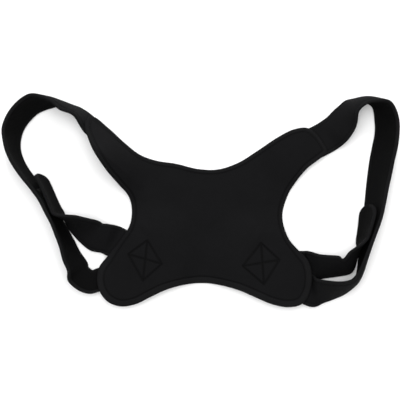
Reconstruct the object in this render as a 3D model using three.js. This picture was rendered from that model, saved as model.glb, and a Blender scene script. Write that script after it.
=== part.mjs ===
// Posture corrector lying on a flat surface: a padded four-lobed back panel, two shoulder straps that
// stand on their outer edges round the arm openings, and two closure straps with hook tabs.
// Millimetres, +Z up. The surface is z = 0, +X is towards the right arm opening as it lies, +Y towards
// the shoulders. The origin is on the panel's underside, at its middle.

import * as THREE from 'three';

// Driving dimensions

const PANEL_HALF_WIDTH = 160;    // middle to the outer end of a lower lobe
const PANEL_RISE = 160;          // middle to the height of the upper lobes' ends
const PANEL_DROP = 118;          // middle to the lowest point of the lower lobes
const PANEL_THICKNESS = 6;
const STRAP_WIDTH = 48;
const STRAP_THICKNESS = 5;
const STRAP_BOW = 6.5;           // how far the middle of a standing strap's section bows outwards
const LOOP_REACH = 120;          // how far the straps' loops stand out, which the tables take shares of
const CLOSURE_SAG = 30;          // how far a closure strap bows away from the straight way to its tab
const TAB_WIDTH = 37;            // the closure strap's hook tab
const HOOK_WIDTH = 29;
const HOOK_THICKNESS = 1.5;
const HOOK_MARGIN = 16;          // from the tab's round end to the hook pad
const CLEARANCE = 0.3;           // between pieces that touch
const SEAM_RAMP = 46;            // the stretch over which the panel comes down from a seam to the surface
const TWIST_RAMP = 95;           // the stretch over which the left upper arm twists up
const TAB_SPRING = 8;            // how far the left tab's round end springs off
const PAST_STRAP_SLOPE = 0.3;    // the share of that arm's slope left past the strap that holds it up

// How finely the soft forms are faceted

const OUTLINE_STEPS = 116;
const PANEL_RINGS = [0.2, 0.4, 0.58, 0.72, 0.84, 0.93, 1];
const RIM_TURNS = [-50, 0, 50];
const ROW_STEPS = 3;
const TAB_ROW_STEPS = 2;
const EDGE_STEPS = 4;
const FACE_SHARES = [-1, -0.4, 0.4, 1];
const FACET_ROOM = 0.5;          // kept between bent pieces for their facets
const WAY_STEP = 0.05;           // rows to each side of a frame that give its way
const SLOPE_STEP = 0.5;          // how far apart the heights are taken that give the panel's slope
const FLAT_BEND = 1e-5;          // a section that bends less than this is flat
const LEAST_FLAT = 0.2;          // half the flat part that is left at a round end
const ROUNDEST = 0.97;           // how far along its arc a round end runs

const deg = THREE.MathUtils.degToRad;

// A place on the panel, from shares of its half width and of its rise or drop
function onPanel({ across, up }) {
  const reach = up > 0 ? PANEL_RISE : PANEL_DROP;
  return new THREE.Vector2(across * PANEL_HALF_WIDTH, up * reach);
}

// The panel's outline, anticlockwise from the right waist. Shares of the half width and the rise or drop.
const OUTLINE = [
  { across: 0.731, up: 0.100 },
  { across: 0.780, up: 0.300 },
  { across: 0.857, up: 0.430 },
  { across: 0.966, up: 0.560 },
  { across: 1.087, up: 0.653 },
  { across: 1.146, up: 0.712 },
  { across: 1.115, up: 0.788 },
  { across: 1.045, up: 0.880 },
  { across: 0.957, up: 0.935 },
  { across: 0.836, up: 0.921 },
  { across: 0.688, up: 0.848 },
  { across: 0.503, up: 0.725 },
  { across: 0.317, up: 0.610 },
  { across: 0.130, up: 0.549 },
  { across: -0.056, up: 0.553 },
  { across: -0.261, up: 0.602 },
  { across: -0.448, up: 0.631 },
  { across: -0.597, up: 0.685 },
  { across: -0.746, up: 0.801 },
  { across: -0.894, up: 0.942 },
  { across: -1.025, up: 1.040 },
  { across: -1.080, up: 1.015 },
  { across: -1.093, up: 0.932 },
  { across: -1.063, up: 0.840 },
  { across: -1.014, up: 0.734 },
  { across: -0.950, up: 0.627 },
  { across: -0.879, up: 0.520 },
  { across: -0.792, up: 0.411 },
  { across: -0.705, up: 0.300 },
  { across: -0.673, up: 0.160 },
  { across: -0.694, up: 0.020 },
  { across: -0.799, up: -0.186 },
  { across: -0.898, up: -0.353 },
  { across: -0.972, up: -0.485 },
  { across: -0.995, up: -0.648 },
  { across: -0.963, up: -0.811 },
  { across: -0.889, up: -0.930 },
  { across: -0.768, up: -0.986 },
  { across: -0.630, up: -0.955 },
  { across: -0.501, up: -0.870 },
  { across: -0.354, up: -0.777 },
  { across: -0.187, up: -0.717 },
  { across: 0.000, up: -0.698 },
  { across: 0.168, up: -0.725 },
  { across: 0.335, up: -0.787 },
  { across: 0.481, up: -0.873 },
  { across: 0.629, up: -0.956 },
  { across: 0.777, up: -0.994 },
  { across: 0.906, up: -0.955 },
  { across: 0.980, up: -0.811 },
  { across: 1.003, up: -0.610 },
  { across: 0.971, up: -0.416 },
  { across: 0.880, up: -0.282 },
  { across: 0.783, up: -0.123 },
];

// Where each strap's lower edge is sewn under a lobe: the seam's inner end, its end at the lobe's edge, the
// strap's lean there (0 is upright, -90 flat inwards, 90 flat outwards), how many straps' thickness it is
// lifted, and the share of its width that it is gathered to.
const SEAMS = {
  upperRight: {
    inner: { across: 0.819, up: 0.850 }, edge: { across: 1.069, up: 0.981 },
    lean: -90, lift: 0, width: 1,
  },
  upperLeft: {
    inner: { across: -0.838, up: 0.863 }, edge: { across: -1.000, up: 1.006 },
    lean: -40, lift: 0, width: 0.8,
  },
  lowerRight: {
    inner: { across: 0.356, up: -0.525 }, edge: { across: 0.975, up: -0.990 },
    lean: -90, lift: 1, width: 1,
  },
  lowerLeft: {
    inner: { across: -0.450, up: -0.440 }, edge: { across: -0.984, up: -0.502 },
    lean: 90, lift: 1, width: 0.72,
  },
  closureRight: {
    inner: { across: 0.469, up: -0.695 }, edge: { across: 0.990, up: -0.690 },
    lean: -90, lift: 0, width: 1,
  },
  closureLeft: {
    inner: { across: -0.519, up: -0.678 }, edge: { across: -0.900, up: -0.356 },
    lean: -90, lift: 0, width: 1,
  },
};

// Where a lobe is held up by the straps sewn under it: the line that stays level, half the level stretch's
// width in strap widths, and how many straps lie there
const LEVEL_LOBES = [
  { from: { across: 0.900, up: 0.790 }, to: { across: 1.050, up: 0.870 }, half: 0.62, straps: 1 },
  { from: { across: 0.530, up: -0.440 }, to: { across: 0.970, up: -0.640 }, half: 0.92, straps: 2 },
  { from: { across: -0.560, up: -0.380 }, to: { across: -0.940, up: -0.510 }, half: 0.94, straps: 2 },
];

// What a strap's row has unless it says otherwise: lift is how many straps' thickness its outer edge is held
// above the surface, bow the share of the bow that a standing strap has, and width the share of its width.
const STANDING = { lift: 0, bow: 1, width: 1 };

// A shoulder strap's free stretch, row by row from the upper seam to the lower one. down is the share of
// the way between the seams' ends, out the share of the loop's reach, and lean the angle out from upright.
const SHOULDER_RIGHT = [
  { down: -0.029, out: 0.094, lean: -74 },
  { down: -0.062, out: 0.170, lean: -62 },
  { down: -0.096, out: 0.262, lean: -48 },
  { down: -0.120, out: 0.370, lean: -28 },
  { down: -0.122, out: 0.490, lean: -15, bow: 1.2 },
  { down: -0.108, out: 0.597, lean: -2, bow: 1.2 },
  { down: -0.073, out: 0.674, lean: 23 },
  { down: 0.000, out: 0.707, lean: 35 },
  { down: 0.065, out: 0.712, lean: 36 },
  { down: 0.125, out: 0.692, lean: 38 },
  { down: 0.191, out: 0.670, lean: 37 },
  { down: 0.267, out: 0.654, lean: 35 },
  { down: 0.349, out: 0.643, lean: 31 },
  { down: 0.420, out: 0.637, lean: 28 },
  { down: 0.498, out: 0.630, lean: 24 },
  { down: 0.587, out: 0.629, lean: 14 },
  { down: 0.668, out: 0.614, lean: 6 },
  { down: 0.745, out: 0.600, lean: -1 },
  { down: 0.810, out: 0.590, lean: -8 },
  { down: 0.868, out: 0.562, lean: -17 },
  { down: 0.920, out: 0.470, lean: -29 },
  { down: 0.955, out: 0.329, lean: -41 },
  { down: 0.983, out: 0.170, lean: -58, lift: 0.7 },
];
const SHOULDER_LEFT = [
  { down: -0.077, out: 0.197, lean: -19, bow: 0.4, width: 0.9 },
  { down: -0.099, out: 0.382, lean: -14, bow: 1.2 },
  { down: -0.088, out: 0.517, lean: 9, bow: 1.2 },
  { down: -0.060, out: 0.696, lean: 30 },
  { down: 0.004, out: 0.840, lean: 31 },
  { down: 0.089, out: 0.936, lean: 27 },
  { down: 0.174, out: 0.963, lean: 17 },
  { down: 0.252, out: 0.936, lean: 12 },
  { down: 0.336, out: 0.857, lean: 9 },
  { down: 0.446, out: 0.704, lean: 8 },
  { down: 0.527, out: 0.609, lean: 7 },
  { down: 0.591, out: 0.540, lean: 9 },
  { down: 0.673, out: 0.452, lean: 11 },
  { down: 0.721, out: 0.402, lean: 14 },
  { down: 0.809, out: 0.312, lean: 19 },
  { down: 0.890, out: 0.237, lean: 26 },
  { down: 0.959, out: 0.150, lean: 32 },
  { down: 0.996, out: 0.128, lean: 52, lift: 0.5, bow: 0.7, width: 0.86 },
  { down: 1.014, out: 0.078, lean: 80, lift: 1, bow: 0.2, width: 0.75 },
];

// A closure strap's free stretch, from its seam to where it meets the shoulder strap. along is the share
// of the straight way there, and sag the share of the strap's sag to the outside.
const CLOSURE_RIGHT = [
  { along: 0.080, sag: 0.130, lean: -81 },
  { along: 0.190, sag: 0.290, lean: -53 },
  { along: 0.380, sag: 0.730, lean: -44 },
  { along: 0.570, sag: 1.020, lean: -38 },
  { along: 0.780, sag: 0.630, lean: -27 },
];
const CLOSURE_LEFT = [
  { along: 0.118, sag: 0.135, lean: -72 },
  { along: 0.250, sag: 0.399, lean: -72 },
  { along: 0.450, sag: 0.456, lean: -68 },
  { along: 0.617, sag: 0.400, lean: -54 },
  { along: 0.773, sag: 0.244, lean: -33 },
];

// The tabs' stretches, as row numbers of the shoulder straps that they lie against, and the share of the
// spring that a tab's round end has
const TAB_RIGHT = { from: 16.5, to: 14.3, spring: 0 };
const TAB_LEFT = { from: 12.4, to: 9.5, spring: 1 };

// The padded panel

const SEAM_HEIGHT = STRAP_THICKNESS + CLEARANCE;

function distanceToLine(point, from, to) {
  const way = to.clone().sub(from);
  const share = THREE.MathUtils.clamp(point.clone().sub(from).dot(way) / way.lengthSq(), 0, 1);
  return point.distanceTo(from.clone().addScaledVector(way, share));
}

// The height of the panel's middle layer where it is held up by the left strap, which stands tilted there
function twistedArmHeight(point) {
  const seam = SEAMS.upperLeft;
  const inner = onPanel(seam.inner);
  const heading = onPanel(seam.edge).sub(inner).normalize();
  const inward = new THREE.Vector2(-heading.y, heading.x);
  const tilt = deg(90 + seam.lean);
  const offset = point.clone().sub(inner);
  const rise = THREE.MathUtils.clamp(1 + offset.dot(heading) / TWIST_RAMP, 0, 1);
  const share = rise * rise * (3 - 2 * rise);
  const layers = (SEAM_HEIGHT + PANEL_THICKNESS / 2) / Math.cos(tilt);
  const inset = offset.dot(inward);
  const overStrap = Math.min(inset, STRAP_WIDTH * Math.cos(tilt));
  const slope = Math.tan(tilt) * (overStrap + PAST_STRAP_SLOPE * (inset - overStrap));
  const height = share * (slope + layers - PANEL_THICKNESS / 2);
  return Math.max(0, height);
}

// The height of the panel's middle layer over the surface
function middleHeight(point) {
  let lift = twistedArmHeight(point);
  for (const lobe of LEVEL_LOBES) {
    const away = distanceToLine(point, onPanel(lobe.from), onPanel(lobe.to));
    const level = STRAP_WIDTH * lobe.half;
    const share = 1 - THREE.MathUtils.smoothstep(away, level, level + SEAM_RAMP);
    lift = Math.max(lift, share * lobe.straps * SEAM_HEIGHT);
  }
  return PANEL_THICKNESS / 2 + lift;
}

function middleNormal(point) {
  const slopeX = middleHeight(new THREE.Vector2(point.x + SLOPE_STEP, point.y))
    - middleHeight(new THREE.Vector2(point.x - SLOPE_STEP, point.y));
  const slopeY = middleHeight(new THREE.Vector2(point.x, point.y + SLOPE_STEP))
    - middleHeight(new THREE.Vector2(point.x, point.y - SLOPE_STEP));
  return new THREE.Vector3(-slopeX, -slopeY, 2 * SLOPE_STEP).normalize();
}

// A point of the panel: its plan place, how far out from the middle layer it is, and how far past its place
function panelPoint(plan, outward, above, beyond) {
  const normal = middleNormal(plan);
  const point = new THREE.Vector3(plan.x, plan.y, middleHeight(plan));
  const along = new THREE.Vector3(outward.x, outward.y, 0);
  along.addScaledVector(normal, -along.dot(normal)).normalize();
  return point.addScaledVector(normal, above).addScaledVector(along, beyond);
}

// A closed mesh from rings of equal length, closed at both ends by a point
function closedRings(rings, first, last) {
  const count = rings[0].length;
  const points = [first, ...rings.flat(), last];
  const position = new Float32Array(points.flatMap((point) => point.toArray()));
  const index = [];
  for (let i = 0; i < count; i += 1) {
    const next = (i + 1) % count;
    index.push(0, 1 + next, 1 + i);
    for (let ring = 0; ring + 1 < rings.length; ring += 1) {
      const here = 1 + ring * count;
      const there = here + count;
      index.push(here + i, here + next, there + next);
      index.push(here + i, there + next, there + i);
    }
    const end = 1 + (rings.length - 1) * count;
    index.push(end + i, end + next, points.length - 1);
  }
  const geometry = new THREE.BufferGeometry();
  geometry.setAttribute('position', new THREE.BufferAttribute(position, 3));
  geometry.setIndex(index);
  return geometry;
}

function panelGeometry() {
  const corners = OUTLINE.map((row) => {
    const place = onPanel(row);
    return new THREE.Vector3(place.x, place.y, 0);
  });
  const outline = new THREE.CatmullRomCurve3(corners, true, 'centripetal');
  const radius = PANEL_THICKNESS / 2;
  const steps = Array.from({ length: OUTLINE_STEPS }, (_, i) => i / OUTLINE_STEPS);
  const shore = steps.map((step) => {
    const place = outline.getPoint(step);
    const tangent = outline.getTangent(step);
    const outward = new THREE.Vector2(tangent.y, -tangent.x).normalize();
    const inset = new THREE.Vector2(place.x, place.y).addScaledVector(outward, -radius);
    return { inset, outward };
  });
  const sheet = (above) => PANEL_RINGS.map((share) => shore.map(({ inset, outward }) => (
    panelPoint(inset.clone().multiplyScalar(share), outward, above, 0)
  )));
  const rim = RIM_TURNS.map((turn) => shore.map(({ inset, outward }) => (
    panelPoint(inset, outward, radius * Math.sin(deg(turn)), radius * Math.cos(deg(turn)))
  )));
  const rings = [...sheet(-radius), ...rim, ...sheet(radius).reverse()];
  const middle = new THREE.Vector2(0, 0);
  const east = new THREE.Vector2(1, 0);
  return closedRings(rings, panelPoint(middle, east, -radius, 0), panelPoint(middle, east, radius, 0));
}

// Straps

// A strap's section is bent round a circle. A station's bow points away from the circle's middle, and its
// length is one over the circle's radius. A frame's bend is the same along the frame's normal.

// A point of a bent section, so far across it and so far out from its middle layer
function bentPoint({ centre, across, normal, bend }, reach, out) {
  if (Math.abs(bend) < FLAT_BEND) {
    return centre.clone().addScaledVector(across, reach).addScaledVector(normal, out);
  }
  const radius = 1 / bend;
  const point = centre.clone().addScaledVector(across, (radius + out) * Math.sin(reach * bend));
  return point.addScaledVector(normal, (radius + out) * Math.cos(reach * bend) - radius);
}

// The stations of a strap that runs with its outer edge through rows of feet. turn is 1 where the outside
// is on the left of the way, -1 where it is on the right.
function stations(rows, turn) {
  const line = rows.map((row) => new THREE.Vector3(row.x, row.y, 0));
  const feet = new THREE.CatmullRomCurve3(line, false, 'centripetal');
  return rows.map((row, i) => {
    const way = feet.getTangent(i / (rows.length - 1));
    const outward = new THREE.Vector3(-way.y, way.x, 0).multiplyScalar(turn);
    const sine = Math.sin(deg(row.lean));
    const cosine = Math.cos(deg(row.lean));
    const up = new THREE.Vector3(0, 0, 1);
    const across = outward.clone().multiplyScalar(sine).addScaledVector(up, cosine);
    const outer = outward.clone().multiplyScalar(cosine).addScaledVector(up, -sine);
    const width = row.width * STRAP_WIDTH;
    const bend = Math.max(8 * STRAP_BOW * row.bow * cosine ** 2 / STRAP_WIDTH ** 2, FLAT_BEND);
    const halfTurn = bend * width / 2;
    const centre = new THREE.Vector3(row.x, row.y, row.lift * SEAM_HEIGHT);
    centre.z += STRAP_THICKNESS / 2 * (1 - Math.cos(deg(row.lean) + halfTurn));
    centre.addScaledVector(across, Math.sin(halfTurn) / bend);
    centre.addScaledVector(outer, (1 - Math.cos(halfTurn)) / bend);
    return { centre, across, bow: outer.multiplyScalar(bend), width };
  });
}

// A smooth value along numbered rows, which never passes the values of the rows on either side
function easedRows(values) {
  const rises = values.slice(1).map((value, i) => value - values[i]);
  const slopes = values.map((_, i) => {
    const before = rises[i - 1] ?? 0;
    const after = rises[i] ?? 0;
    return before * after > 0 ? 2 * before * after / (before + after) : 0;
  });
  return (row) => {
    const i = THREE.MathUtils.clamp(Math.floor(row), 0, values.length - 2);
    const t = row - i;
    const bend = t * t * (3 - 2 * t);
    const leave = t * (1 - t) * (1 - t) * slopes[i];
    const arrive = t * t * (t - 1) * slopes[i + 1];
    return values[i] + bend * rises[i] + leave + arrive;
  };
}

// A smooth vector along numbered rows
function easedVectors(vectors) {
  const axes = ['x', 'y', 'z'].map((axis) => easedRows(vectors.map((vector) => vector[axis])));
  return (row) => new THREE.Vector3(...axes.map((axis) => axis(row)));
}

// A strap's frame at any row of its stations
function route(list) {
  const last = list.length - 1;
  const centres = new THREE.CatmullRomCurve3(list.map((station) => station.centre), false, 'centripetal');
  const heights = easedRows(list.map((station) => station.centre.z));
  const acrosses = easedVectors(list.map((station) => station.across));
  const bows = easedVectors(list.map((station) => station.bow));
  const widths = easedRows(list.map((station) => station.width));
  const place = (row) => {
    const centre = centres.getPoint(THREE.MathUtils.clamp(row / last, 0, 1));
    centre.z = heights(THREE.MathUtils.clamp(row, 0, last));
    return centre;
  };
  return (row) => {
    const across = acrosses(row).normalize();
    const way = place(row + WAY_STEP).sub(place(row - WAY_STEP));
    const normal = new THREE.Vector3().crossVectors(across, way).normalize();
    return { centre: place(row), across, normal, bend: bows(row).dot(normal), width: widths(row) };
  };
}

// A strap's section: a bent band with round edges, which never reaches below the surface
function section(frame, thickness) {
  const round = thickness / 2;
  const flat = Math.max(frame.width / 2 - round, LEAST_FLAT);
  const ring = [];
  for (const side of [1, -1]) {
    for (const share of FACE_SHARES) {
      ring.push(bentPoint(frame, side * share * flat, side * round));
    }
    for (let i = 1; i < EDGE_STEPS; i += 1) {
      const turn = Math.PI * i / EDGE_STEPS;
      ring.push(bentPoint(frame, side * (flat + round * Math.sin(turn)), side * round * Math.cos(turn)));
    }
  }
  const lowest = Math.min(...ring.map((point) => point.z));
  ring.forEach((point) => {
    point.z += Math.max(0, -lowest);
  });
  return ring;
}

function strapGeometry(frames, thickness) {
  const rings = frames.map((frame) => section(frame, thickness));
  return closedRings(rings, frames[0].centre, frames[frames.length - 1].centre);
}

function seamRow(place, seam) {
  const { x, y } = onPanel(place);
  return { x, y, lean: seam.lean, lift: seam.lift, bow: 0, width: seam.width };
}

function middleOf(a, b) {
  return { across: (a.across + b.across) / 2, up: (a.up + b.up) / 2 };
}

// The three rows of a seam, from its inner end to the lobe's edge
function seamRows(seam) {
  return [seam.inner, middleOf(seam.inner, seam.edge), seam.edge].map((place) => seamRow(place, seam));
}

function shoulderStations(upper, lower, table, side) {
  const start = onPanel(upper.edge);
  const end = onPanel(lower.edge);
  const free = table.map((row) => {
    const place = start.clone().lerp(end, row.down);
    return { ...STANDING, ...row, x: place.x + side * row.out * LOOP_REACH, y: place.y };
  });
  return stations([...seamRows(upper), ...free, ...seamRows(lower).reverse()], side);
}

// A piece's stations against the inner face of a shoulder strap, some way off its middle layer,
// with the far end sprung off further
function besideStations(strap, rows, side, offset, spring, width) {
  return rows.map((row, i) => {
    const frame = strap(row);
    const away = offset + spring * (i / (rows.length - 1)) ** 2;
    const aside = (width - STRAP_WIDTH) / 2;
    const turn = aside * frame.bend;
    const centre = bentPoint(frame, aside, -side * away);
    const across = frame.across.clone().multiplyScalar(Math.cos(turn));
    across.addScaledVector(frame.normal, -Math.sin(turn));
    const bow = frame.normal.clone().multiplyScalar(Math.cos(turn));
    bow.addScaledVector(frame.across, Math.sin(turn));
    bow.multiplyScalar(frame.bend / (1 - side * frame.bend * away));
    return { centre, across, bow, width };
  });
}

function rowsBetween(from, to, count) {
  return Array.from({ length: count + 1 }, (_, i) => THREE.MathUtils.lerp(from, to, i / count));
}

function framesAlong(path, from, to, steps) {
  return rowsBetween(from, to, Math.round((to - from) * steps)).map(path);
}

// Rounds the last end of a strap, by narrowing it along an arc
function roundEnd(frames, radius) {
  let left = 0;
  for (let i = frames.length - 1; i >= 0; i -= 1) {
    if (i < frames.length - 1) {
      left += frames[i].centre.distanceTo(frames[i + 1].centre);
    }
    const short = THREE.MathUtils.clamp(1 - left / radius, 0, ROUNDEST);
    frames[i].width *= Math.sqrt(1 - short * short);
  }
}

const SEAM_ROWS = 3;
const TAB_OFFSET = STRAP_THICKNESS + HOOK_THICKNESS + 2 * (CLEARANCE + FACET_ROOM);
const HOOK_OFFSET = STRAP_THICKNESS / 2 + CLEARANCE + FACET_ROOM + HOOK_THICKNESS / 2;
const TAB_STATIONS = 8;
const HOOK_STATIONS = 24;
const HOOK_SKIP = 2;             // stations left out where the closure strap comes up to its tab

function closureStations(seam, table, tab, shoulder, side) {
  const rows = rowsBetween(tab.from + SEAM_ROWS - 1, tab.to + SEAM_ROWS - 1, TAB_STATIONS);
  const beside = besideStations(shoulder, rows, side, TAB_OFFSET, tab.spring * TAB_SPRING, TAB_WIDTH);
  const start = onPanel(seam.edge);
  const first = beside[0];
  const foot = first.centre.clone().addScaledVector(first.across, -TAB_WIDTH / 2);
  const end = new THREE.Vector2(foot.x, foot.y);
  const way = end.clone().sub(start).normalize();
  const outward = new THREE.Vector2(side * way.y, -side * way.x);
  const free = table.map((row) => {
    const place = start.clone().lerp(end, row.along).addScaledVector(outward, row.sag * CLOSURE_SAG);
    return { ...STANDING, ...row, x: place.x, y: place.y };
  });
  const last = { ...STANDING, x: end.x, y: end.y, lean: 0 };
  const list = stations([...seamRows(seam), ...free, last], -side);
  list.pop();
  return { list: [...list, ...beside], free: list.length };
}

// A hook pad's stations, which stop short of the tab's round end
function hookStations(tab, shoulder, side) {
  const rows = rowsBetween(tab.from + SEAM_ROWS - 1, tab.to + SEAM_ROWS - 1, HOOK_STATIONS);
  const list = besideStations(shoulder, rows, side, HOOK_OFFSET, 0, HOOK_WIDTH);
  const end = list[list.length - 1].centre;
  return list.filter((station) => station.centre.distanceTo(end) > HOOK_MARGIN).slice(HOOK_SKIP);
}

const group = new THREE.Group();

function addPiece(name, geometry, color, roughness) {
  const material = new THREE.MeshStandardMaterial({ color, roughness, metalness: 0 });
  const mesh = new THREE.Mesh(geometry, material);
  mesh.name = name;
  group.add(mesh);
}

function addPanel() {
  addPiece('back_panel', panelGeometry(), 0x18181a, 0.9);
}

function addSide(name, seams, tables, side) {
  const list = shoulderStations(seams.upper, seams.lower, tables.shoulder, side);
  const shoulder = route(list);
  const shoulderFrames = framesAlong(shoulder, 0, list.length - 1, ROW_STEPS);
  addPiece(`shoulder_strap_${name}`, strapGeometry(shoulderFrames, STRAP_THICKNESS), 0x1a1a1c, 0.9);

  const closure = closureStations(seams.closure, tables.closure, tables.tab, shoulder, side);
  const path = route(closure.list);
  const freeFrames = framesAlong(path, 0, closure.free, ROW_STEPS);
  const tabFrames = framesAlong(path, closure.free, closure.list.length - 1, TAB_ROW_STEPS);
  const frames = [...freeFrames, ...tabFrames.slice(1)];
  roundEnd(frames, TAB_WIDTH / 2);
  addPiece(`closure_strap_${name}`, strapGeometry(frames, STRAP_THICKNESS), 0x1a1a1c, 0.9);

  const hook = hookStations(tables.tab, shoulder, side);
  const hookFrames = framesAlong(route(hook), 0, hook.length - 1, 1);
  addPiece(`hook_pad_${name}`, strapGeometry(hookFrames, HOOK_THICKNESS), 0x101010, 0.8);
}

addPanel();
addSide(
  'right',
  { upper: SEAMS.upperRight, lower: SEAMS.lowerRight, closure: SEAMS.closureRight },
  { shoulder: SHOULDER_RIGHT, closure: CLOSURE_RIGHT, tab: TAB_RIGHT },
  1,
);
addSide(
  'left',
  { upper: SEAMS.upperLeft, lower: SEAMS.lowerLeft, closure: SEAMS.closureLeft },
  { shoulder: SHOULDER_LEFT, closure: CLOSURE_LEFT, tab: TAB_LEFT },
  -1,
);

export default group;
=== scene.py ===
import math
from collections import namedtuple

import bmesh
import bpy
from bpy.props import FloatProperty, FloatVectorProperty, IntProperty, PointerProperty
from mathutils import Matrix, Vector, kdtree, noise


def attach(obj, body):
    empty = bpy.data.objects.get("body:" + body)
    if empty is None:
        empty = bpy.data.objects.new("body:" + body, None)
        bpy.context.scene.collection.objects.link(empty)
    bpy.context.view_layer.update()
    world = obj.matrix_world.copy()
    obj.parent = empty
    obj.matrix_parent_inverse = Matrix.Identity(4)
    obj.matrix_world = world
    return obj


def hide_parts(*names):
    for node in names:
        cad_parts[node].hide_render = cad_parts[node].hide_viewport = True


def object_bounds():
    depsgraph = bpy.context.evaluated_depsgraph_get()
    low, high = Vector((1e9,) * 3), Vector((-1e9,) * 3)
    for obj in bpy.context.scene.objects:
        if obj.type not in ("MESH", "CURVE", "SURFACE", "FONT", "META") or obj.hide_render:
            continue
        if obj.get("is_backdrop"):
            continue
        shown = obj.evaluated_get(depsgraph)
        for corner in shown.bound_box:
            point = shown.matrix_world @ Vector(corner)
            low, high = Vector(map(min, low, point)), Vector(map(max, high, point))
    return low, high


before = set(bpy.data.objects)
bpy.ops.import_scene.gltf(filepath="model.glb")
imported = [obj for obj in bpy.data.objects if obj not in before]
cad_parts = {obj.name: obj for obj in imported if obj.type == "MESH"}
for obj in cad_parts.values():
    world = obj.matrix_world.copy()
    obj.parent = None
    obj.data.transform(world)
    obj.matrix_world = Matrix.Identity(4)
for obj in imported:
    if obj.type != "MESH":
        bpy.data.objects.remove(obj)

bl_info = {
    "name": "Posture Corrector",
    "version": (1, 0, 0),
    "blender": (4, 5, 0),
    "location": "3D View > Sidebar > Posture Corrector",
    "description": "A padded back panel with shoulder and closure straps, lying on a surface",
    "category": "Add Mesh",
}

CAD_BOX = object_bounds()

# Tables. Lengths are shares of the named sizes.

# The panel's outline, anticlockwise from the right waist: shares of the half width and the rise or drop.
OUTLINE = (
    (0.731, 0.100), (0.780, 0.300), (0.857, 0.430), (0.966, 0.560), (1.087, 0.653), (1.146, 0.712),
    (1.115, 0.788), (1.045, 0.880), (0.957, 0.935), (0.836, 0.921), (0.688, 0.848), (0.503, 0.725),
    (0.317, 0.610), (0.130, 0.549), (-0.056, 0.553), (-0.261, 0.602), (-0.448, 0.631), (-0.597, 0.685),
    (-0.746, 0.801), (-0.894, 0.942), (-1.025, 1.040), (-1.080, 1.015), (-1.093, 0.932), (-1.063, 0.840),
    (-1.014, 0.734), (-0.950, 0.627), (-0.879, 0.520), (-0.792, 0.411), (-0.705, 0.300), (-0.673, 0.160),
    (-0.694, 0.020), (-0.799, -0.186), (-0.898, -0.353), (-0.972, -0.485), (-0.995, -0.648),
    (-0.963, -0.811), (-0.889, -0.930), (-0.768, -0.986), (-0.630, -0.955), (-0.501, -0.870),
    (-0.354, -0.777), (-0.187, -0.717), (0.000, -0.698), (0.168, -0.725), (0.335, -0.787),
    (0.481, -0.873), (0.629, -0.956), (0.777, -0.994), (0.906, -0.955), (0.980, -0.811),
    (1.003, -0.610), (0.971, -0.416), (0.880, -0.282), (0.783, -0.123),
)

# Where a strap's lower edge is sewn under a lobe: the seam's inner end, its end at the lobe's edge, the
# strap's lean there (0 is upright, -90 flat inwards, 90 flat outwards), how many straps' thickness it is
# lifted, and the share of its width that it is gathered to.
Seam = namedtuple("Seam", "inner edge lean lift width")
SEAMS = {
    "upper_right": Seam((0.819, 0.850), (1.069, 0.981), -90, 0, 1),
    "upper_left": Seam((-0.838, 0.863), (-1.000, 1.006), -40, 0, 0.8),
    "lower_right": Seam((0.356, -0.525), (0.975, -0.990), -90, 1, 1),
    "lower_left": Seam((-0.450, -0.440), (-0.984, -0.502), 90, 1, 0.72),
    "closure_right": Seam((0.469, -0.695), (0.990, -0.690), -90, 0, 1),
    "closure_left": Seam((-0.519, -0.678), (-0.900, -0.356), -90, 0, 1),
}

# Where straps hold a lobe up: the line that stays level, its half width in strap widths, and the straps.
LEVEL_LOBES = (
    ((0.900, 0.790), (1.050, 0.870), 0.62, 1),
    ((0.530, -0.440), (0.970, -0.640), 0.92, 2),
    ((-0.560, -0.380), (-0.940, -0.510), 0.94, 2),
)

# A shoulder strap's free rows, from the upper seam to the lower one: the share of the way down, the share
# of the loop's reach outwards, the lean in degrees, the lift in straps' thicknesses, and the shares
# of the bow and of the strap's width.
SHOULDER_RIGHT = (
    (-0.029, 0.094, -74, 0, 1, 1), (-0.062, 0.170, -62, 0, 1, 1), (-0.096, 0.262, -48, 0, 1, 1),
    (-0.120, 0.370, -28, 0, 1, 1), (-0.122, 0.490, -15, 0, 1.2, 1), (-0.108, 0.597, -2, 0, 1.2, 1),
    (-0.073, 0.674, 23, 0, 1, 1), (0.000, 0.707, 35, 0, 1, 1), (0.065, 0.712, 36, 0, 1, 1),
    (0.125, 0.692, 38, 0, 1, 1), (0.191, 0.670, 37, 0, 1, 1), (0.267, 0.654, 35, 0, 1, 1),
    (0.349, 0.643, 31, 0, 1, 1), (0.420, 0.637, 28, 0, 1, 1), (0.498, 0.630, 24, 0, 1, 1),
    (0.587, 0.629, 14, 0, 1, 1), (0.668, 0.614, 6, 0, 1, 1), (0.745, 0.600, -1, 0, 1, 1),
    (0.810, 0.590, -8, 0, 1, 1), (0.868, 0.562, -17, 0, 1, 1), (0.920, 0.470, -29, 0, 1, 1),
    (0.955, 0.329, -41, 0, 1, 1), (0.983, 0.170, -58, 0.7, 1, 1),
)
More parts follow.
